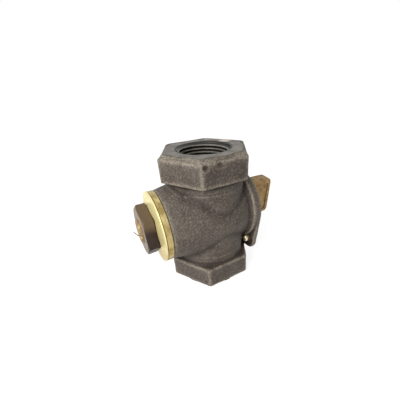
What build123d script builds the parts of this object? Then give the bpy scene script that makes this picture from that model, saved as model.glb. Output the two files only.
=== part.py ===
from build123d import *
import os
from math import asin, cos, degrees, radians, sin, tan

os.makedirs("parts", exist_ok=True)

# A quarter-turn service cock: an iron body with two tapped hexagon ends in line, and a
# tapered bronze plug ground into it crosswise. Lengths are in millimetres, angles in degrees.
# The flow runs along Z and the origin is the centre of the lower end face. The plug lies
# along X with its flat head on the +X side. The front of the cock faces -Y.

# Pipe ends: 3/4 inch taper thread in a hexagon of 1 5/8 inch across flats.
end_to_end = 71.4
hex_across_flats = 41.275
hex_height = 13.2
hex_corner_radius = 1.5
hex_bevel_drop = 2.1
hex_bevel_width = 2.6
tapped_bore_diameter = 26.6
tapped_bore_depth = 15.0
bore_mouth_chamfer = 0.7

# Flow barrel between the two hexagons.
barrel_diameter = 38.8
barrel_flare_height = 4.5
barrel_flare_radius = 9.0

# Plug barrel, crossing the flow barrel a little above its middle.
axis_above_middle = 0.7
crown_radius = 20.5
crown_shift = -3.0
boss_radius = 17.9
boss_face = 27.0
neck_below_flange = 4.1
crotch_fillet = 3.0

# Flange at the large end of the plug, rising out of a soft cove, with one ear for the pin.
flange_inner_face = 17.0
flange_thickness = 5.0
flange_radius = 20.3
flange_draft = 4.0
flange_edge_radius = 0.7
cove_radius = 2.2
ear_thickness = 2.5
ear_beyond_flange = 1.9
ear_lean = 28.5
ear_end_radius = 6.5

# Check pin through the ear, and the cast nub that stops the plug at shut.
pin_diameter = 4.8
pin_inner_reach = 3.0
pin_outer_reach = 3.2
pin_dome = 1.2
pin_clearance = 0.02
stop_nub_radius = 1.7
stop_nub_gap = 0.7
stop_nub_height = 2.4
stop_nub_draft = 3.0

# Ground plug and its waterway.
plug_large_radius = 14.5
plug_taper_on_radius = 1 / 16
seat_clearance = 0.05
seat_take_up = 1.5
port_length = 19.0
port_width = 12.0
port_corner_radius = 4.0
throat_radius = 11.4
seat_overlap = 0.2
collar_gap = 0.35
collar_overhang = 0.4
collar_thickness = 2.7
collar_edge_radius = 0.5
lug_beyond_pin = 0.4
lug_width = 4.6
lug_corner_radius = 1.0
stop_gap = 0.1
rest_turn = 6.5

# Flat head of the plug, with a sunk panel in each broad face.
head_length = 16.6
head_height = 24.0
head_thickness = 8.6
head_draft = 1.5
head_corner_radius = 2.8
head_edge_radius = 1.3
panel_border = 2.8
panel_depth = 0.5
panel_corner_radius = 0.9

# Small end of the plug: keyed shank, stud, washers and nut.
stud_diameter = 12.7
shank_flats = 10.6
stud_chamfer = 0.8
stud_beyond_nut = 1.0
shank_clearance = 0.1
washer_edge = 0.3
flat_washer_overhang = 0.2
flat_washer_thickness = 3.0
dished_washer_overhang = 0.2
dished_washer_thickness = 0.7
dished_washer_rise = 1.7
dished_rim_width = 1.6
dished_land_width = 3.0
nut_across_flats = 23.0
nut_thickness = 5.2
nut_turn = 17.0
nut_corner_drop = 0.9
thread_clearance = 0.05

# Wire stub in the end of the stud.
wire_diameter = 0.55
wire_hole_diameter = 0.65
wire_hole_depth = 2.0
wire_root = (-2.3, -0.7)
wire_straight = 0.2
wire_bend_radius = 1.0
wire_bend_angle = 60.0
wire_tail = 2.7

# Cutters run this far past the faces they open.
overrun = 1.0
right_angle = 90.0

# Stations along the plug axis, from the head side to the nut side.
flange_outer_face = flange_inner_face + flange_thickness
ear_inner_face = flange_outer_face - ear_thickness
pin_inner_end = ear_inner_face - pin_inner_reach
pin_outer_end = flange_outer_face + pin_outer_reach
collar_face = flange_outer_face + collar_gap
head_root = collar_face + collar_thickness
plug_small_end = -boss_face + seat_take_up
flat_washer_face = -boss_face - flat_washer_thickness
nut_seat = flat_washer_face - dished_washer_thickness - dished_washer_rise
nut_face = nut_seat - nut_thickness
stud_end = nut_face - stud_beyond_nut

# Planes: stations across the plug axis, and the half plane that turned forms are drawn in.
# On a station plane the local X points along +Y, and the local Y points up.
axis_height = end_to_end / 2 + axis_above_middle
station = Plane(origin=(0, 0, axis_height), x_dir=(0, 1, 0), z_dir=(1, 0, 0))
turning = Plane(origin=(0, 0, axis_height), x_dir=(1, 0, 0), z_dir=(0, -1, 0))
plug_axis = Axis((0, 0, axis_height), (1, 0, 0))
turned = radians(rest_turn)
plug_station = Plane(station.origin, x_dir=(0, cos(turned), sin(turned)), z_dir=(1, 0, 0))
port_plane = Plane(
    origin=plug_station.origin, x_dir=(1, 0, 0), z_dir=plug_station.y_dir
)


def on_circle(radius, angle):
    """A point of a station plane, with its angle counted from +Y towards +Z."""
    return (radius * cos(radians(angle)), radius * sin(radians(angle)))


def seat_radius(x):
    """Radius of the ground seat at a station along the plug axis."""
    return plug_large_radius + seat_clearance - (flange_outer_face - x) * plug_taper_on_radius


# Angles of the stops. The plug is drawn at its open stop and then turned by rest_turn.
collar_radius = plug_large_radius + collar_overhang
ear_reach = flange_radius + ear_beyond_flange
lug_reach = ear_reach + lug_beyond_pin
stop_nub_reach = collar_radius + stop_nub_gap + stop_nub_radius
ear_angle = -right_angle - ear_lean
ear_centre = on_circle(ear_reach, ear_angle)
pin_half_width = (pin_diameter + lug_width) / 2 + stop_gap
lug_angle = ear_angle + degrees(asin(pin_half_width / ear_reach))
nub_half_width = stop_nub_radius + lug_width / 2 + stop_gap
nub_angle = lug_angle + right_angle + degrees(asin(nub_half_width / stop_nub_reach))

# Iron body, cast in one piece.
hex_apothem = hex_across_flats / 2
hex_ends = ((0, 1), (end_to_end, -1))
barrel_radius = barrel_diameter / 2
upper_hex_foot = end_to_end - hex_height
cove_root = flange_radius - cove_radius
cove_start = flange_inner_face - cove_radius
neck_radius = flange_radius - neck_below_flange
ear_root_radius = flange_radius - (flange_thickness - ear_thickness) * tan(radians(flange_draft))
throat_end = seat_radius(0) - seat_overlap

with BuildPart() as body:
    # Flow barrel, and the plug barrel across it, which is crowned over the middle and narrows
    # both ways. The corners between them are filleted.
    with BuildSketch():
        Circle(barrel_radius)
    extrude(amount=end_to_end)
    with BuildSketch(turning):
        with BuildLine():
            crown = ThreePointArc(
                (-boss_face, boss_radius),
                (crown_shift, crown_radius),
                (flange_outer_face, neck_radius),
            )
            Polyline(crown @ 1, (flange_outer_face, 0), (-boss_face, 0), crown @ 0)
        make_face()
    revolve(axis=plug_axis)
    crotches = body.edges().filter_by(
        lambda edge: edge.geom_type not in (GeomType.CIRCLE, GeomType.LINE)
    )
    fillet(crotches, radius=crotch_fillet)

    # Flares from the flow barrel out to the flats of the hexagons.
    with BuildSketch(Plane.XZ):
        with BuildLine():
            flare = FilletPolyline(
                (hex_apothem, hex_height),
                (barrel_radius, hex_height + barrel_flare_height),
                (barrel_radius, upper_hex_foot - barrel_flare_height),
                (hex_apothem, upper_hex_foot),
                radius=barrel_flare_radius,
            )
            Polyline(flare @ 1, (0, upper_hex_foot), (0, hex_height), flare @ 0)
        make_face()
    revolve(axis=Axis.Z)

    # Hexagon ends, with rounded corners and a cast bevel towards each end face.
    for face, inward in hex_ends:
        with BuildSketch(Plane.XY.offset(face + inward * hex_bevel_drop)) as full_hexagon:
            RegularPolygon(hex_apothem, 6, major_radius=False)
            fillet(full_hexagon.vertices(), radius=hex_corner_radius)
        extrude(amount=inward * (hex_height - hex_bevel_drop))
        with BuildSketch(Plane.XY.offset(face + inward * hex_bevel_drop)):
            add(full_hexagon.sketch)
        with BuildSketch(Plane.XY.offset(face)) as bevel_top:
            RegularPolygon(hex_apothem - hex_bevel_width, 6, major_radius=False)
            fillet(bevel_top.vertices(), radius=hex_corner_radius)
        loft()

    # Cove in front of the flange.
    with BuildSketch(turning):
        with BuildLine():
            cove = JernArc(
                start=(cove_start, cove_root),
                tangent=(1, 0),
                radius=cove_radius,
                arc_size=right_angle,
            )
            Polyline(cove @ 1, (flange_inner_face, 0), (cove_start, 0), cove @ 0)
        make_face()
    revolve(axis=plug_axis)

    # Flange, drafted towards its rounded outer edge.
    with BuildSketch(station.offset(flange_inner_face)):
        Circle(flange_radius)
    extrude(amount=flange_thickness, taper=flange_draft)

    # Ear, running off the flange in a tangent outline with the same draft.
    with BuildSketch(station.offset(ear_inner_face)):
        with BuildSketch(mode=Mode.PRIVATE) as ear_outline:
            Circle(ear_root_radius)
            with Locations(ear_centre):
                Circle(ear_end_radius)
            make_hull()
        add(ear_outline.sketch)
    extrude(amount=ear_thickness, taper=flange_draft)
    flange_rim = body.faces().filter_by(Axis.X).sort_by(Axis.X)[-1].outer_wire().edges()
    fillet(flange_rim, radius=flange_edge_radius)

    # Round nub that ends the plug's travel at shut.
    with BuildSketch(station.offset(flange_outer_face)):
        with Locations(on_circle(stop_nub_reach, nub_angle)):
            Circle(stop_nub_radius)
    extrude(amount=stop_nub_height, taper=stop_nub_draft)

    # Ground seat for the plug.
    seat_start = -boss_face - overrun
    seat_end = flange_outer_face + overrun
    with BuildSketch(turning):
        with BuildLine():
            Polyline(
                (seat_start, 0),
                (seat_start, seat_radius(seat_start)),
                (seat_end, seat_radius(seat_end)),
                (seat_end, 0),
                close=True,
            )
        make_face()
    revolve(axis=plug_axis, mode=Mode.SUBTRACT)

    # Tapped bores, and the throats that change from round to the plug's oblong port.
    for face, inward in hex_ends:
        with BuildSketch(Plane.XY.offset(face)):
            Circle(tapped_bore_diameter / 2)
        extrude(amount=inward * tapped_bore_depth, mode=Mode.SUBTRACT)
        with BuildSketch(Plane.XY.offset(face + inward * tapped_bore_depth)):
            Circle(throat_radius)
        with BuildSketch(Plane.XY.offset(axis_height - inward * throat_end)):
            RectangleRounded(port_length, port_width, port_corner_radius)
        loft(mode=Mode.SUBTRACT)
        with BuildSketch(Plane.XY.offset(axis_height - inward * throat_end)):
            RectangleRounded(port_length, port_width, port_corner_radius)
        extrude(amount=inward * throat_end, mode=Mode.SUBTRACT)
        end_face = body.faces().filter_by(Axis.Z).sort_by(Axis.Z)[0 if inward > 0 else -1]
        chamfer(end_face.inner_wires()[0].edges(), length=bore_mouth_chamfer)

    # Hole for the check pin, which also grazes the rim of the flange.
    with BuildSketch(station.offset(pin_inner_end)):
        with Locations(ear_centre):
            Circle(pin_diameter / 2 + pin_clearance)
    extrude(amount=flange_outer_face - pin_inner_end, mode=Mode.SUBTRACT)

body.part.label = "body"
export_step(body.part, "parts/body.step")

# Brass check pin, driven through the ear.
with BuildPart() as check_pin:
    with BuildSketch(station.offset(pin_inner_end)):
        with Locations(ear_centre):
            Circle(pin_diameter / 2)
    extrude(amount=pin_outer_end - pin_inner_end)
    fillet(check_pin.edges().filter_by(GeomType.CIRCLE), radius=pin_dome)

check_pin.part.label = "check_pin"
export_step(check_pin.part, "parts/check_pin.step")

# Bronze plug: ground taper, collar with stop lug, flat head, keyed shank and stud.
stud_radius = stud_diameter / 2
panel_length = head_length - 2 * panel_border
panel_height = head_height - 2 * panel_border
panel_floor = head_thickness / 2 - head_length / 2 * tan(radians(head_draft)) - panel_depth
with BuildPart() as plug:
    with BuildSketch(turning):
        with BuildLine():
            Polyline(
                (plug_small_end, 0),
                (plug_small_end, seat_radius(plug_small_end) - seat_clearance),
                (collar_face, seat_radius(collar_face) - seat_clearance),
                (collar_face, collar_radius),
                (head_root, collar_radius),
                (head_root, 0),
                close=True,
            )
        make_face()
    revolve(axis=plug_axis)
    collar_edge = plug.edges().filter_by(GeomType.CIRCLE).sort_by(Axis.X)[-1]
    fillet(collar_edge, radius=collar_edge_radius)

    # Stop lug, which swings between the check pin and the nub.
    with BuildSketch(plug_station.offset(collar_face)):
        with Locations(on_circle(lug_reach / 2, lug_angle)):
            RectangleRounded(lug_reach, lug_width, lug_corner_radius, rotation=lug_angle)
    extrude(amount=collar_thickness - collar_edge_radius)

    # Flat head with drafted sides and rounded outer corners.
    with BuildSketch(plug_station.offset(head_root)):
        Rectangle(head_thickness, head_height)
    extrude(amount=head_length, taper=head_draft)
    across_head = Axis(plug_station.origin, plug_station.x_dir)
    head_corners = plug.edges().filter_by(across_head).sort_by(Axis.X)[-2:]
    fillet(head_corners, radius=head_corner_radius)
    head_sides = plug.edges().filter_by(
        lambda edge: edge.center().X > head_root + head_edge_radius
    )
    fillet(head_sides, radius=head_edge_radius)

    # Sunk panel in each broad face.
    for side in (1, -1):
        panel_plane = Plane(
            origin=plug_station.origin + Vector(head_root + head_length / 2, 0, 0),
            x_dir=(1, 0, 0),
            z_dir=plug_station.x_dir * side,
        )
        with BuildSketch(panel_plane.offset(panel_floor)):
            RectangleRounded(panel_length, panel_height, panel_corner_radius)
        extrude(amount=head_thickness, mode=Mode.SUBTRACT)

    # Oblong port through the taper.
    with BuildSketch(port_plane):
        RectangleRounded(port_length, port_width, port_corner_radius)
    extrude(amount=plug_large_radius + overrun, both=True, mode=Mode.SUBTRACT)

    # Keyed shank under the flat washer.
    with BuildSketch(plug_station.offset(plug_small_end)):
        Circle(stud_radius)
        Rectangle(shank_flats, stud_diameter, mode=Mode.INTERSECT)
    extrude(amount=flat_washer_face - plug_small_end)

    # Stud, chamfered at its end.
    with BuildSketch(turning):
        with BuildLine():
            Polyline(
                (flat_washer_face, 0),
                (flat_washer_face, stud_radius),
                (stud_end + stud_chamfer, stud_radius),
                (stud_end, stud_radius - stud_chamfer),
                (stud_end, 0),
                close=True,
            )
        make_face()
    revolve(axis=plug_axis)

    # Hole for the wire stub in the end of the stud.
    with BuildSketch(plug_station.offset(stud_end)):
        with Locations(wire_root):
            Circle(wire_hole_diameter / 2)
    extrude(amount=wire_hole_depth, mode=Mode.SUBTRACT)

plug.part.label = "plug"
export_step(plug.part, "parts/plug.step")

# Flat brass washer, keyed to the shank so that it turns with the plug.
flat_washer_radius = boss_radius + flat_washer_overhang
with BuildPart() as flat_washer:
    with BuildSketch(plug_station.offset(-boss_face)):
        Circle(flat_washer_radius)
        with BuildSketch(mode=Mode.PRIVATE) as keyed_hole:
            Circle(stud_radius + shank_clearance)
            Rectangle(
                shank_flats + 2 * shank_clearance, stud_diameter * 2, mode=Mode.INTERSECT
            )
        add(keyed_hole.sketch, mode=Mode.SUBTRACT)
    extrude(amount=-flat_washer_thickness)
    flat_washer_rims = flat_washer.edges().filter_by(GeomType.CIRCLE)
    chamfer(flat_washer_rims.group_by(SortBy.RADIUS)[-1], length=washer_edge)

flat_washer.part.label = "flat_washer"
export_step(flat_washer.part, "parts/flat_washer.step")

# Dished brass spring washer, bearing on the flat washer by its rim.
dished_washer_radius = flat_washer_radius + dished_washer_overhang
dished_hole_radius = stud_radius + shank_clearance
dished_land_radius = dished_hole_radius + dished_land_width
dished_outer_face = flat_washer_face - dished_washer_thickness
dished_inner_land = nut_seat + dished_washer_thickness
with BuildPart() as spring_washer:
    with BuildSketch(turning):
        with BuildLine():
            Polyline(
                (flat_washer_face, dished_washer_radius - dished_rim_width),
                (flat_washer_face, dished_washer_radius),
                (dished_outer_face, dished_washer_radius),
                (nut_seat, dished_land_radius),
                (nut_seat, dished_hole_radius),
                (dished_inner_land, dished_hole_radius),
                (dished_inner_land, dished_land_radius),
                close=True,
            )
        make_face()
    revolve(axis=plug_axis)
    spring_rims = spring_washer.edges().filter_by(GeomType.CIRCLE)
    chamfer(spring_rims.group_by(SortBy.RADIUS)[-1], length=washer_edge)

spring_washer.part.label = "spring_washer"
export_step(spring_washer.part, "parts/spring_washer.step")

# Hexagon nut that draws the plug into its seat.
nut_apothem = nut_across_flats / 2
nut_corner = nut_apothem / cos(radians(30))
with BuildPart() as nut:
    with BuildSketch(station.offset(nut_seat)):
        RegularPolygon(nut_apothem, 6, major_radius=False, rotation=nut_turn)
        Circle(stud_radius + thread_clearance, mode=Mode.SUBTRACT)
    extrude(amount=-nut_thickness)
    with BuildSketch(turning):
        with BuildLine():
            Polyline(
                (nut_seat, 0),
                (nut_seat, nut_corner),
                (nut_face + nut_corner_drop, nut_corner),
                (nut_face, nut_apothem),
                (nut_face, 0),
                close=True,
            )
        make_face()
    revolve(axis=plug_axis, mode=Mode.INTERSECT)

nut.part.label = "nut"
export_step(nut.part, "parts/nut.step")

# Stub of tie wire, bent up where it leaves the stud.
wire_plane = Plane(
    origin=plug_station.offset(stud_end).from_local_coords((*wire_root, 0)),
    x_dir=(-1, 0, 0),
    z_dir=(0, 1, 0),
)
with BuildPart() as tie_wire:
    with BuildLine(wire_plane) as wire_path:
        straight = Line((-wire_hole_depth, 0), (wire_straight, 0))
        bend = JernArc(
            start=straight @ 1,
            tangent=straight % 1,
            radius=wire_bend_radius,
            arc_size=wire_bend_angle,
        )
        Line(bend @ 1, bend @ 1 + wire_tail * (bend % 1))
    with BuildSketch(Plane(origin=wire_path.line @ 0, z_dir=wire_path.line % 0)):
        Circle(wire_diameter / 2)
    sweep(path=wire_path.line)

tie_wire.part.label = "tie_wire"
export_step(tie_wire.part, "parts/tie_wire.step")
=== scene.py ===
import math

import bmesh
import bpy
import numpy as np
from mathutils import Matrix, Vector, noise


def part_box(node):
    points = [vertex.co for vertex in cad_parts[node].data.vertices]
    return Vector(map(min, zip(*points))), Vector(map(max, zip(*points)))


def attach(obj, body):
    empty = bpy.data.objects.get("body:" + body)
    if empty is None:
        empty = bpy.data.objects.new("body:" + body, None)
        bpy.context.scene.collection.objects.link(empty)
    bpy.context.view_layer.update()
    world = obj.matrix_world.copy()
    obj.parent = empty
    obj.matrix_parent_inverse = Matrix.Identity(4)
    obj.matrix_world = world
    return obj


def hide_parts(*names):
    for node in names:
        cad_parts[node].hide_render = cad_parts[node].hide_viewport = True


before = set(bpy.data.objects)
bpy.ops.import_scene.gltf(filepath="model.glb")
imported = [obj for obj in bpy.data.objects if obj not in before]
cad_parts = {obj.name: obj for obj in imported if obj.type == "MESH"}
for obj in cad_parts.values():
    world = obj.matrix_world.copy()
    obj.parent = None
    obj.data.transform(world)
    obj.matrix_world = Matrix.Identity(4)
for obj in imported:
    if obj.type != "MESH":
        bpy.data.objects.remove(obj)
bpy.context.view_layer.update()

# Body. One grey iron casting, poured in green sand, so its skin is grainy and its inner
# corners are soft. Only the end faces, the flange and boss faces, the tapped bores and the
# plug's seat are machined, and stay crisp and bare.
mm = 0.001
body_low, body_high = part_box("body")
end_to_end = body_high[2]
axis_height = 36.4 * mm
bore_radius = 13.3 * mm
mouth_chamfer = 0.7 * mm
tapped_depth = 15.3 * mm
inner_reach = 14.2 * mm
seat_reach = 15.6 * mm
face_band = 0.22 * mm
skin_step = 0.42 * mm
softening_rounds = 3
sand_bumps = ((5.5 * mm, 0.10 * mm), (1.7 * mm, 0.07 * mm))
bump_set_in = 0.35

# The bevel of the upper hexagon is cast deep at the front left and runs out to nothing on the
# far side. It starts from this height.
hex_flat = 20.6375 * mm
bevel_drop = 2.1 * mm
bevel_width = 2.6 * mm
bevel_run_out = Vector((0.47, 0.88, 0.0))
run_out_from, run_out_to = -8 * mm, 14 * mm
bevel_foot = end_to_end - 6 * mm
bevel_left = 0.15 * mm

# Small hollows where sand broke away from the mould, and the clearance in front of the check
# pin: place, radius, and how far and which way the skin is sunk.
hollows = (
    (Vector((-10.2, -20.7, 68.4)) * mm, 2.4 * mm, Vector((0.25, 0.75, -0.2)) * mm),
    (Vector((-3.0, -20.7, 68.9)) * mm, 2.6 * mm, Vector((0.0, 0.4, 0.0)) * mm),
    (Vector((9.5, 18.6, 71.4)) * mm, 1.6 * mm, Vector((0.0, 0.0, -0.45)) * mm),
    (Vector((15.2, -13.2, 17.0)) * mm, 5.0 * mm, Vector((-1.1, 1.0, 0.0)) * mm),
)
pin_place = Vector((0.0, -10.593, 16.891)) * mm
pin_space = 3.3 * mm

# Each hexagon stands proud of the flow barrel by a small shelf with a cast fillet.
hexagon_height = 13.2 * mm
shelf_root = 19.35 * mm
shelf_fillet = 1.6 * mm
shelf_width = 1.0 * mm
flare_height = 4.5 * mm
hexagon_softening = 0.3

# How far a point may lie from the smoothed skin to count as fully hollow or fully worn.
relief_rounds = 24
full_relief = 0.16 * mm


def linear(hex_colour):
    """sRGB hex colour as the linear values that Blender's sockets take."""
    channels = [int(hex_colour[i : i + 2], 16) / 255 for i in (1, 3, 5)]
    return [c / 12.92 if c <= 0.04045 else ((c + 0.055) / 1.055) ** 2.4 for c in channels] + [1.0]


def add_node(tree, kind, inputs, **settings):
    """Adds a node with its settings, and links or fills its inputs."""
    made = tree.nodes.new("ShaderNode" + kind)
    for name, value in settings.items():
        setattr(made, name, value)
    for key, value in inputs.items():
        if isinstance(value, bpy.types.Node):
            value = next(socket for socket in value.outputs if socket.enabled)
        if isinstance(value, bpy.types.NodeSocket):
            tree.links.new(value, made.inputs[key])
        else:
            made.inputs[key].default_value = linear(value) if isinstance(value, str) else value
    return made


def new_material(name, metallic, roughness):
    """A material, its node tree, its surface shader and the object's own coordinates."""
    material = bpy.data.materials.new(name)
    material.use_nodes = True
    tree = material.node_tree
    surface = tree.nodes["Principled BSDF"]
    surface.inputs["Metallic"].default_value = metallic
    surface.inputs["Roughness"].default_value = roughness
    return material, tree, surface, add_node(tree, "TexCoord", {}).outputs["Object"]


def mesh_object(name, vertices, faces, material):
    """A mesh in the scene, with its faces turned outwards."""
    mesh = bpy.data.meshes.new(name)
    mesh.from_pydata([tuple(v) for v in vertices], [], [tuple(f) for f in faces])
    mesh.materials.append(material)
    turned = bmesh.new()
    turned.from_mesh(mesh)
    bmesh.ops.recalc_face_normals(turned, faces=turned.faces)
    turned.to_mesh(mesh)
    turned.free()
    made = bpy.data.objects.new(name, mesh)
    bpy.context.scene.collection.objects.link(made)
    return made


def reskin(node, step):
    """A copy of a CAD node's skin as an even mesh of small quads."""
    source = bpy.data.objects.new(node.name + "_copy", node.data.copy())
    bpy.context.scene.collection.objects.link(source)
    welded = bmesh.new()
    welded.from_mesh(source.data)
    bmesh.ops.remove_doubles(welded, verts=welded.verts, dist=0.001 * mm)
    welded.to_mesh(source.data)
    welded.free()
    remesh = source.modifiers.new("even_skin", "REMESH")
    remesh.mode = "VOXEL"
    remesh.voxel_size = step
    evaluated = source.evaluated_get(bpy.context.evaluated_depsgraph_get())
    skin = bpy.data.meshes.new_from_object(evaluated)
    bpy.data.objects.remove(source)
    return skin


def soften(points, edges, share, rounds):
    """Laplacian smoothing, each point moved only by its own share."""
    count = np.bincount(edges.ravel(), minlength=len(points))[:, None]
    for _ in range(rounds):
        total = np.zeros_like(points)
        np.add.at(total, edges[:, 0], points[edges[:, 1]])
        np.add.at(total, edges[:, 1], points[edges[:, 0]])
        points += (total / count - points) * share[:, None] * 0.5
    return points


def ramp(values, low, high):
    """A smooth step from 0 at low to 1 at high."""
    share = np.clip((values - low) / (high - low), 0.0, 1.0)
    return share * share * (3 - 2 * share)


skin = reskin(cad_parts["body"], skin_step)
points = np.zeros(len(skin.vertices) * 3)
skin.vertices.foreach_get("co", points)
points = points.reshape(-1, 3)
edges = np.zeros(len(skin.edges) * 2, int)
skin.edges.foreach_get("vertices", edges)
edges = edges.reshape(-1, 2)
from_flow = np.hypot(points[:, 0], points[:, 1])
from_plug = np.hypot(points[:, 1], points[:, 2] - axis_height)
from_pin = np.hypot(points[:, 1] - pin_place.y, points[:, 2] - pin_place.z)
from_end = np.minimum(points[:, 2], end_to_end - points[:, 2])
on_end = (from_end < face_band) & (from_flow > bore_radius)
in_bore = (from_flow < inner_reach) & (from_end < tapped_depth)
in_seat = (from_plug < seat_reach) & (points[:, 0] < body_high[0] - face_band)
on_boss = points[:, 0] < body_low[0] + face_band
on_flange = points[:, 0] > body_high[0] - face_band
round_pin = (from_pin < pin_space) & (points[:, 0] > 0)
machined = (on_end | in_bore | (from_flow < inner_reach) | in_seat | on_boss | on_flange).astype(float)
on_hexagon = from_end < hexagon_height
kept_crisp = np.where(on_hexagon, hexagon_softening, 1.0)
points = soften(points, edges, (1.0 - np.maximum(machined, round_pin)) * kept_crisp, softening_rounds)

up_flare = from_end - hexagon_height
fillet_share = 1.0 - np.clip(up_flare / shelf_fillet, 0.0, 1.0)
shelf_radius = shelf_root + shelf_width * (1.0 - np.sqrt(1.0 - fillet_share**2))
on_flare = (up_flare > 0) & (up_flare < flare_height) & (from_flow > shelf_radius)
on_flare &= from_flow < hex_flat + face_band
points[on_flare, :2] *= (shelf_radius / from_flow)[on_flare][:, None]

wall = in_bore & (abs(from_flow - bore_radius) < face_band * 2)
mouth = np.clip(mouth_chamfer - from_end, 0.0, mouth_chamfer)
points[wall, :2] *= ((bore_radius + mouth) / from_flow)[wall][:, None]

# The rim of the upper hexagon rises where the bevel runs out.
directions = [Vector((math.cos(a), math.sin(a))) for a in np.radians(np.arange(30, 360, 60))]
from_flat = hex_flat - np.max([points[:, 0] * d.x + points[:, 1] * d.y for d in directions], axis=0)
ceiling = end_to_end - bevel_drop * (1.0 - np.clip(from_flat / bevel_width, 0.0, 1.0))
run_out = ramp(points[:, 0] * bevel_run_out.x + points[:, 1] * bevel_run_out.y, run_out_from, run_out_to)
full_rise = end_to_end - bevel_left - bevel_foot
lift = full_rise / np.minimum(ceiling - bevel_foot, full_rise)
high = (points[:, 2] > bevel_foot) & (from_flow > inner_reach)
raised = bevel_foot + (points[:, 2] - bevel_foot) * (1.0 + (np.maximum(lift, 1.0) - 1.0) * run_out)
points[high, 2] = np.minimum(raised, end_to_end)[high]

skin.vertices.foreach_set("co", points.ravel())
skin.update()
normals = np.zeros(len(points) * 3)
skin.vertices.foreach_get("normal", normals)
normals = normals.reshape(-1, 3)
swell = np.zeros(len(points))
for size, height in sand_bumps:
    waves = np.array([noise.noise(Vector(p) / size) for p in points])
    swell += (waves - bump_set_in) * height
swell *= (1.0 - machined) * (1.0 - round_pin)
for place, radius, push in hollows:
    share = 1.0 - ramp(np.linalg.norm(points - np.array(place), axis=1), 0.0, radius)
    points += share[:, None] * np.array(push)
# Relief: positive in hollows and creases, where the material darkens the skin as dirt and as painted shade;
# negative on edges, where it lightens the skin as wear.
relief = (soften(points.copy(), edges, np.ones(len(points)), relief_rounds) - points) * normals
relief = relief.sum(axis=1) / full_relief
# The front of the upper bevel is lightened as a painted highlight that fades out towards the back. The rest
# of this share lightens the edges as wear.
on_bevel = high & (from_flat < bevel_width) & (from_end < bevel_drop * 1.1)
wear_and_bevel_highlight = np.clip(-relief, 0.0, 1.0)
wear_and_bevel_highlight[on_bevel] = np.maximum(wear_and_bevel_highlight, (1.0 - run_out) * 0.9)[on_bevel]
points += normals * swell[:, None]
points = np.clip(points, np.array(body_low), np.array(body_high))
skin.vertices.foreach_set("co", points.ravel())
layers = {
    "machined": machined,
    "tapped": in_bore.astype(float),
    "hollow": np.clip(relief, 0.0, 1.0),
    "wear_and_bevel_highlight": wear_and_bevel_highlight * (1.0 - machined),
}
for name, share in layers.items():
    layer = skin.attributes.new(name, "FLOAT", "POINT")
    layer.data.foreach_set("value", share.astype(np.float32))
skin.shade_smooth()

# Grey iron as it leaves green sand: a dull brown-grey skin with a grain of about 1 mm, and
# slow patches of darker scale. Its edges are lightened as wear, and the front of the upper
# bevel as a painted highlight. Its hollows and creases are darkened as dirt and as painted
# shade, and the inner face of the ear round the check pin as painted shade. Where it is
# machined it is brighter, with torn spots, and the tapped bores are darkened, for cutting oil
# and as painted shade inside the bore.
iron, tree, surface, place = new_material("grey_iron_sand_cast", 0.1, 0.6)
surface.inputs["Specular IOR Level"].default_value = 0.25
bare = add_node(tree, "Attribute", {}, attribute_name="machined").outputs["Fac"]
oil_and_bore_shade = add_node(tree, "Attribute", {}, attribute_name="tapped").outputs["Fac"]
scale_noise = add_node(tree, "TexNoise", {"Vector": place, "Scale": 1 / (8 * mm), "Detail": 4.0})
scale_share = add_node(tree, "MapRange", {"Value": scale_noise, 1: 0.36, 2: 0.64})
cast_tone = add_node(tree, "Mix", {0: scale_share, 6: "#463E38", 7: "#574F48"}, data_type="RGBA")
sand_noise = add_node(tree, "TexNoise", {"Vector": place, "Scale": 1 / (0.8 * mm), "Detail": 4.0})
sand_high = add_node(tree, "MapRange", {"Value": sand_noise, 1: 0.52, 2: 0.74, 4: 0.5})
sand_low = add_node(tree, "MapRange", {"Value": sand_noise, 1: 0.48, 2: 0.30, 4: 0.5})
lit_grain = add_node(tree, "Mix", {0: sand_high, 6: cast_tone, 7: "#8C8376"}, data_type="RGBA")
cast_skin = add_node(tree, "Mix", {0: sand_low, 6: lit_grain, 7: "#2E2925"}, data_type="RGBA")
# Lightened edges as wear, and a painted highlight on the front of the upper bevel.
wear_and_bevel_highlight = add_node(tree, "Attribute", {}, attribute_name="wear_and_bevel_highlight").outputs["Fac"]
rubbed_grain = add_node(tree, "MapRange", {"Value": sand_noise, 1: 0.36, 2: 0.62, 3: 0.25})
rubbed_and_bevel_highlight = add_node(tree, "Math", {0: wear_and_bevel_highlight, 1: rubbed_grain}, operation="MULTIPLY")
cast_skin = add_node(tree, "Mix", {0: rubbed_and_bevel_highlight, 6: cast_skin, 7: "#8A8072"}, data_type="RGBA")
# Painted shade together with dirt: hollows and creases are darkened.
hollow = add_node(tree, "Attribute", {}, attribute_name="hollow").outputs["Fac"]
dirt_and_crease_shade = add_node(tree, "Math", {0: hollow, 1: 0.75}, operation="MULTIPLY")
cast_skin = add_node(tree, "Mix", {0: dirt_and_crease_shade, 6: cast_skin, 7: "#241C15"}, data_type="RGBA")
# Painted shade on the inner face of the ear round the check pin.
from_ear = add_node(
    tree, "VectorMath", {0: place, 1: Vector((19.0, -10.6, 16.4)) * mm}, operation="DISTANCE"
).outputs["Value"]
ear_painted_shade = add_node(tree, "MapRange", {"Value": from_ear, 1: 5.9 * mm, 2: 4.6 * mm, 4: 0.85})
cast_skin = add_node(tree, "Mix", {0: ear_painted_shade, 6: cast_skin, 7: "#23160C"}, data_type="RGBA")

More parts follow.
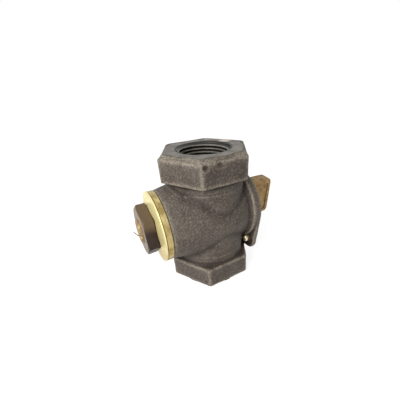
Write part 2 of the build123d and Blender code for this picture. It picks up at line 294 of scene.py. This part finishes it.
# Bright fresh patches on the end face where a wrench or a vice has rubbed it.
fresh = 0.0
for fresh_place, fresh_radius in ((Vector((11.1, 17.0, 71.4)), 2.6), (Vector((15.5, 5.8, 71.4)), 4.0)):
    reach = add_node(tree, "VectorMath", {0: place, 1: fresh_place * mm}, operation="DISTANCE")
    patch = add_node(
        tree, "MapRange", {"Value": reach.outputs["Value"], 1: fresh_radius * mm, 2: fresh_radius * 0.5 * mm}
    )
    fresh = add_node(tree, "Math", {0: patch, 1: fresh}, operation="MAXIMUM")
torn_noise = add_node(tree, "TexNoise", {"Vector": place, "Scale": 1 / (5 * mm), "Detail": 5.0})
torn_share = add_node(tree, "MapRange", {"Value": torn_noise, 1: 0.42, 2: 0.60})
cut_face = add_node(tree, "Mix", {0: torn_share, 6: "#4C473E", 7: "#6A655B"}, data_type="RGBA")
cut_face = add_node(tree, "Mix", {0: fresh, 6: cut_face, 7: "#BDB0A4"}, data_type="RGBA")
iron_colour = add_node(tree, "Mix", {0: bare, 6: cast_skin, 7: cut_face}, data_type="RGBA")
# Tapped bores darkened, for cutting oil and as painted shade inside the bore.
iron_colour = add_node(tree, "Mix", {0: oil_and_bore_shade, 6: iron_colour, 7: "#2A2824"}, data_type="RGBA")
tree.links.new(iron_colour.outputs[2], surface.inputs["Base Color"])
rough_share = add_node(tree, "MapRange", {"Value": bare, 3: 0.62, 4: 0.42})
tree.links.new(rough_share.outputs[0], surface.inputs["Roughness"])
cast_share = add_node(tree, "MapRange", {"Value": bare, 3: 1.0, 4: 0.15})
skin_relief = add_node(tree, "Math", {0: sand_noise, 1: cast_share}, operation="MULTIPLY")
skin_bump = add_node(tree, "Bump", {"Height": skin_relief, "Strength": 0.7, "Distance": 0.2 * mm})
tree.links.new(skin_bump.outputs["Normal"], surface.inputs["Normal"])

skin.materials.clear()
skin.materials.append(iron)
casting = bpy.data.objects.new("body_casting", skin)
bpy.context.scene.collection.objects.link(casting)
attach(casting, "valve_body")
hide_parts("body")

# Pipe threads. A 3/4 inch taper thread is cut in each end with a tap: 14 threads to the inch,
# narrowing by 1 in 16 on the diameter. The crests are rubbed bright and carry a painted
# highlight. The flanks hold oil and carry painted shade.
pitch = 25.4 * mm / 14
thread_depth = 1.25 * mm
thread_taper = 1 / 32
crest_half_width = 0.16 * mm
root_sink = 0.03 * mm
thread_start = 0.25 * mm
thread_turns = 7.0
fade_turns = 0.6
steps_per_turn = 96
wall_overlap = 0.06 * mm
side_gap = 0.005 * mm
least_crest = 0.02
below_face = 0.35 * mm


def tapped_thread(name, face, inward, material):
    """The thread's ridge in one end, a helix that fades in and out."""
    vertices, faces, crest_faces = [], [], []
    steps = int(thread_turns * steps_per_turn)
    for i in range(steps + 1):
        turns = i / steps_per_turn
        deep = thread_start + turns * pitch
        fade = ramp(np.array(min(turns, steps / steps_per_turn - turns)), 0.0, fade_turns)
        root = bore_radius - root_sink - deep * thread_taper
        crest = root - thread_depth * max(float(fade), least_crest)
        half = pitch / 2 - side_gap
        section = (
            (bore_radius + wall_overlap, -half),
            (root, -half),
            (crest, -crest_half_width),
            (crest, crest_half_width),
            (root, half),
            (bore_radius + wall_overlap, half),
        )
        angle = 2 * math.pi * turns * inward
        for radius, along in section:
            z = face + inward * max(deep + along, below_face)
            vertices.append((radius * math.cos(angle), radius * math.sin(angle), z))
    count = len(section)
    for i in range(steps):
        near, far = i * count, (i + 1) * count
        for k in range(count):
            faces.append((near + k, near + (k + 1) % count, far + (k + 1) % count, far + k))
    faces.append(tuple(range(count)))
    faces.append(tuple(range(steps * count, (steps + 1) * count)))
    thread = mesh_object(name, vertices, faces, material)
    thread.data.shade_flat()
    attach(thread, "valve_body")


# Cut grey iron with oil on it. The crest is told from the flanks by its distance from the axis:
# crests pale as rubbed metal and painted highlight, flanks dark as oil and painted shade.
cut_iron, tree, surface, place = new_material("tapped_grey_iron", 0.35, 0.4)
flat_place = add_node(tree, "VectorMath", {0: place, 1: (1.0, 1.0, 0.0)}, operation="MULTIPLY")
radius_here = add_node(tree, "VectorMath", {0: flat_place}, operation="LENGTH").outputs["Value"]
crest_share = add_node(
    tree, "MapRange", {"Value": radius_here, 1: bore_radius - 0.9 * mm, 2: bore_radius - 1.25 * mm}
)
oil_noise = add_node(tree, "TexNoise", {"Vector": place, "Scale": 1 / (2.5 * mm), "Detail": 4.0})
oil_share = add_node(tree, "MapRange", {"Value": oil_noise, 1: 0.35, 2: 0.65, 3: 0.55, 4: 1.0})
crest_share = add_node(tree, "Math", {0: crest_share, 1: oil_share}, operation="MULTIPLY")
# Pale crests and dark flanks: wear and oil, with a painted highlight on the crests and painted shade on the
# flanks.
thread_tone = add_node(tree, "Mix", {0: crest_share, 6: "#24221F", 7: "#8F8B80"}, data_type="RGBA")
tree.links.new(thread_tone.outputs[2], surface.inputs["Base Color"])
tears = add_node(tree, "Bump", {"Height": oil_noise, "Strength": 0.4, "Distance": 0.1 * mm})
tree.links.new(tears.outputs["Normal"], surface.inputs["Normal"])
tapped_thread("upper_thread", end_to_end, -1, cut_iron)
tapped_thread("lower_thread", 0.0, 1, cut_iron)


# Check pin. A short brass pin, turned with a ball end inside and a low dome outside, driven
# through the ear and bright all over from handling.
def dress(node, material):
    """Gives a CAD node its finish."""
    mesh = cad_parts[node].data
    mesh.materials.clear()
    mesh.materials.append(material)


def brass_surface(name, clean, dull, roughness, patch, speck, relief, metallic=1.0):
    """Copper alloy with slow patches of tarnish and a fine grain of the given depth."""
    material, tree, surface, place = new_material(name, metallic, roughness)
    patch_noise = add_node(tree, "TexNoise", {"Vector": place, "Scale": 1 / patch, "Detail": 4.0})
    dull_share = add_node(tree, "MapRange", {"Value": patch_noise, 1: 0.40, 2: 0.64})
    tone = add_node(tree, "Mix", {0: dull_share, 6: clean, 7: dull}, data_type="RGBA")
    speck_noise = add_node(tree, "TexNoise", {"Vector": place, "Scale": 1 / speck, "Detail": 4.0})
    speck_share = add_node(tree, "MapRange", {"Value": speck_noise, 1: 0.46, 2: 0.34, 4: 0.5})
    tone = add_node(tree, "Mix", {0: speck_share, 6: tone, 7: dull}, data_type="RGBA")
    tree.links.new(tone.outputs[2], surface.inputs["Base Color"])
    rough = add_node(tree, "MapRange", {"Value": dull_share, 3: roughness, 4: roughness + 0.15})
    tree.links.new(rough.outputs[0], surface.inputs["Roughness"])
    bump = add_node(tree, "Bump", {"Height": speck_noise, "Strength": 0.6, "Distance": relief})
    tree.links.new(bump.outputs["Normal"], surface.inputs["Normal"])
    return material, tree, surface, place, tone


def turned_pin(name, node, ball, dome, steps_round, steps_dome, material):
    """A pin along X in the place of a CAD node, with a ball inner end and a flatter outer one."""
    low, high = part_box(node)
    radius = (high[1] - low[1]) / 2
    middle_y, middle_z = (high[1] + low[1]) / 2, (high[2] + low[2]) / 2
    quarter = [math.pi / 2 * i / steps_dome for i in range(1, steps_dome + 1)]
    profile = [(low[0] + ball * (1 - math.cos(a)), radius * math.sin(a)) for a in quarter]
    profile += [(high[0] - dome * (1 - math.cos(a)), radius * math.sin(a)) for a in reversed(quarter)]
    vertices = [(low[0], middle_y, middle_z)]
    for x, r in profile:
        for k in range(steps_round):
            a = 2 * math.pi * k / steps_round
            vertices.append((x, middle_y + r * math.cos(a), middle_z + r * math.sin(a)))
    vertices.append((high[0], middle_y, middle_z))
    faces, last = [], len(vertices) - 1
    for k in range(steps_round):
        after = (k + 1) % steps_round
        faces.append((0, 1 + k, 1 + after))
        for ring in range(len(profile) - 1):
            near, far = 1 + ring * steps_round, 1 + (ring + 1) * steps_round
            faces.append((near + k, far + k, far + after, near + after))
        outer = 1 + (len(profile) - 1) * steps_round
        faces.append((last, outer + after, outer + k))
    pin = mesh_object(name, vertices, faces, material)
    pin.data.shade_smooth()
    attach(pin, "valve_body")
    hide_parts(node)


turned_brass = brass_surface("turned_brass", "#E6D9BC", "#B39E74", 0.22, 2.5 * mm, 0.5 * mm, 0.04 * mm, 0.85)
turned_pin("turned_check_pin", "check_pin", 2.4 * mm, 1.2 * mm, 48, 12, turned_brass[0])

# Plug. A bronze casting with its taper and collar ground and its flat head left as cast: the
# head is a dull brown with golden rubbed patches and a sandy grain. The stud is cut bright.
cast_bronze, tree, surface, place, tone = brass_surface(
    "cast_bronze", "#A5854F", "#7C6240", 0.45, 2.2 * mm, 0.7 * mm, 0.2 * mm, 0.45
)
along_plug = add_node(tree, "SeparateXYZ", {0: place}).outputs["X"]
stud_share = add_node(tree, "MapRange", {"Value": along_plug, 1: -29.5 * mm, 2: -30.0 * mm})
stud_noise = add_node(tree, "TexNoise", {"Vector": place, "Scale": 1 / (2.0 * mm), "Detail": 3.0})
stud_patch = add_node(tree, "MapRange", {"Value": stud_noise, 1: 0.5, 2: 0.62})
stud_tone = add_node(tree, "Mix", {0: stud_patch, 6: "#7A6040", 7: "#B8A062"}, data_type="RGBA")
plug_tone = add_node(tree, "Mix", {0: stud_share, 6: tone, 7: stud_tone}, data_type="RGBA")
tree.links.new(plug_tone.outputs[2], surface.inputs["Base Color"])
dress("plug", cast_bronze)

# Flat washer. Blanked from brass bar 3 mm thick: the rim is drawn and golden, with brown
# tarnish on it, painted shade in the seams at its two faces, and painted shade that darkens
# it towards the bottom.
seams = (-27.0 * mm, -30.0 * mm)
seam_half = 0.32 * mm
golden_brass, tree, surface, place, tone = brass_surface(
    "blanked_brass", "#DCCB90", "#A38C58", 0.3, 5.0 * mm, 0.6 * mm, 0.03 * mm, 0.9
)
along_plug = add_node(tree, "SeparateXYZ", {0: place}).outputs["X"]
# Painted shade in the seams against the body and against the spring washer.
for seam in seams:
    offset = add_node(tree, "Math", {0: along_plug, 1: seam}, operation="SUBTRACT")
    distance = add_node(tree, "Math", {0: offset}, operation="ABSOLUTE")
    seam_shade = add_node(tree, "MapRange", {"Value": distance, 1: seam_half, 2: 0.0})
    tone = add_node(tree, "Mix", {0: seam_shade, 6: tone, 7: "#3E3218"}, data_type="RGBA")
up_washer = add_node(tree, "SeparateXYZ", {0: place}).outputs["Z"]
# Painted shade: the washer is darker towards the bottom.
lower_shade_share = add_node(tree, "MapRange", {"Value": up_washer, 1: 50 * mm, 2: 30 * mm, 4: 0.55})
tone = add_node(tree, "Mix", {0: lower_shade_share, 6: tone, 7: "#8E7442"}, data_type="RGBA")
tree.links.new(tone.outputs[2], surface.inputs["Base Color"])
dress("flat_washer", golden_brass)

# Dished spring washer. Pressed from brass sheet, pale and bright, with a satin face, and
# painted shade that darkens it towards the bottom.
pressed_brass = brass_surface(
    "pressed_brass", "#E6DAA2", "#D2C186", 0.35, 6.0 * mm, 0.8 * mm, 0.04 * mm, 0.5
)
satin_brass, tree, surface, place, tone = pressed_brass
up_washer = add_node(tree, "SeparateXYZ", {0: place}).outputs["Z"]
# Painted shade: the washer is darker towards the bottom.
lower_shade_share = add_node(tree, "MapRange", {"Value": up_washer, 1: 44 * mm, 2: 22 * mm, 4: 0.5})
tone = add_node(tree, "Mix", {0: lower_shade_share, 6: tone, 7: "#A08C5E"}, data_type="RGBA")
tree.links.new(tone.outputs[2], surface.inputs["Base Color"])
dress("spring_washer", satin_brass)

# Nut. Forged bronze, oxidised to a dull dark brown that is nearly a paint, and rubbed lighter
# in patches. Its top faces are painted lighter as painted light.
oxidised_bronze = brass_surface(
    "oxidised_bronze", "#33271E", "#1F1712", 0.42, 3.5 * mm, 0.7 * mm, 0.15 * mm, 0.1
)
oxidised, tree, surface, place, tone = oxidised_bronze
surface.inputs["Specular IOR Level"].default_value = 0.25
apart = add_node(tree, "SeparateXYZ", {0: place})
# Painted light: the top faces are lighter than the sides.
top_light_share = add_node(tree, "MapRange", {"Value": apart.outputs["Z"], 1: 39.5 * mm, 2: 43.5 * mm, 4: 0.8})
tone = add_node(tree, "Mix", {0: top_light_share, 6: tone, 7: "#65543E"}, data_type="RGBA")
end_share = add_node(tree, "MapRange", {"Value": apart.outputs["X"], 1: -37.3 * mm, 2: -37.5 * mm, 4: 0.7})
nut_tone = add_node(tree, "Mix", {0: end_share, 6: tone, 7: "#86766A"}, data_type="RGBA")
tree.links.new(nut_tone.outputs[2], surface.inputs["Base Color"])
dress("nut", oxidised)

# Tie wire. A stub of drawn brass wire in the end of the stud, gone grey.
drawn_wire = brass_surface("drawn_wire", "#D6CEC2", "#A39A8C", 0.35, 1.0 * mm, 0.3 * mm, 0.01 * mm)
dress("tie_wire", drawn_wire[0])

# Floor. White paper under the object. The camera and the metals see it white, and it keeps a
# soft shadow. Other light meets a pale grey, so that the object isn't lit from below.
floor_half = 1.5
paper_glow = 0.79
paper, tree, surface, place = new_material("white_paper", 0.0, 0.9)
fibres = add_node(tree, "TexNoise", {"Vector": place, "Scale": 1 / (3 * mm), "Detail": 3.0})
pulp = add_node(tree, "Mix", {0: fibres, 6: "#BEBEBE", 7: "#C6C6C6"}, data_type="RGBA")
tree.links.new(pulp.outputs[2], surface.inputs["Base Color"])
path = add_node(tree, "LightPath", {})
shade = add_node(tree, "BsdfDiffuse", {"Color": "#A9A9A9"})
glow = add_node(tree, "Emission", {"Color": "#FFFFFF", "Strength": paper_glow})
white = add_node(tree, "AddShader", {0: shade, 1: glow})
seen = add_node(
    tree, "Math", {0: path.outputs["Is Camera Ray"], 1: path.outputs["Is Glossy Ray"]}, operation="MAXIMUM"
)
seen = add_node(tree, "Math", {0: seen, 1: path.outputs["Is Transmission Ray"]}, operation="MAXIMUM")
sheet = add_node(tree, "MixShader", {0: seen, 1: surface, 2: white})
tree.links.new(sheet.outputs[0], tree.nodes["Material Output"].inputs["Surface"])
corners = [(x * floor_half, y * floor_half, 0.0) for x, y in ((-1, -1), (1, -1), (1, 1), (-1, 1))]
floor = mesh_object("floor", corners, [(0, 1, 2, 3)], paper)

# Light. A pale surround, which the camera and the metals see white, and one broad soft lamp
# high at the left.
surround = 0.55
lamp_power = 1.1
lamp_side = 0.18
lamp_distance = 0.32
lamp_from = Vector((-0.75, -0.42, 0.5)).normalized()
world = bpy.data.worlds.new("studio")
bpy.context.scene.world = world
world.use_nodes = True
tree = world.node_tree
path = add_node(tree, "LightPath", {})
seen = add_node(
    tree, "Math", {0: path.outputs["Is Camera Ray"], 1: path.outputs["Is Glossy Ray"]}, operation="MAXIMUM"
)
seen = add_node(tree, "Math", {0: seen, 1: path.outputs["Is Transmission Ray"]}, operation="MAXIMUM")
strength = add_node(tree, "MapRange", {"Value": seen, 3: surround, 4: 1.0})
tree.nodes["Background"].inputs["Color"].default_value = linear("#FFFFFF")
tree.links.new(strength.outputs[0], tree.nodes["Background"].inputs["Strength"])
lamp_data = bpy.data.lights.new("lamp", "AREA")
lamp_data.energy = lamp_power
lamp_data.size = lamp_side
lamp = bpy.data.objects.new("lamp", lamp_data)
lamp.location = lamp_from * lamp_distance + Vector((0.0, 0.0, axis_height))
lamp.rotation_euler = (-lamp_from).to_track_quat("-Z", "Y").to_euler()
bpy.context.scene.collection.objects.link(lamp)

# Camera. It stands close to the object and looks down on it from the left.
frame_side = 400
focal_length = 226.744
view_centre = (213.075, 209.158)
camera_place = Vector((-49.95, -99.68, 97.21)) * mm
yaw, dip, roll = (math.radians(a) for a in (28.16, 28.45, -3.17))
camera_data = bpy.data.cameras.new("camera")
camera_data.sensor_width = 36.0
camera_data.lens = camera_data.sensor_width * focal_length / frame_side
camera_data.shift_x = (frame_side / 2 - view_centre[0]) / frame_side
camera_data.shift_y = (view_centre[1] - frame_side / 2) / frame_side
camera_data.clip_start = 5 * mm
camera = bpy.data.objects.new("camera", camera_data)
ahead = Vector((math.sin(yaw) * math.cos(dip), math.cos(yaw) * math.cos(dip), -math.sin(dip)))
level = Vector((math.cos(yaw), -math.sin(yaw), 0.0))
upright = level.cross(ahead)
right = level * math.cos(roll) + upright * math.sin(roll)
up = upright * math.cos(roll) - level * math.sin(roll)
camera.matrix_world = Matrix.Translation(camera_place) @ Matrix((right, up, -ahead)).transposed().to_4x4()
bpy.context.scene.collection.objects.link(camera)
bpy.context.scene.camera = camera
bpy.context.scene.view_settings.view_transform = "Standard"
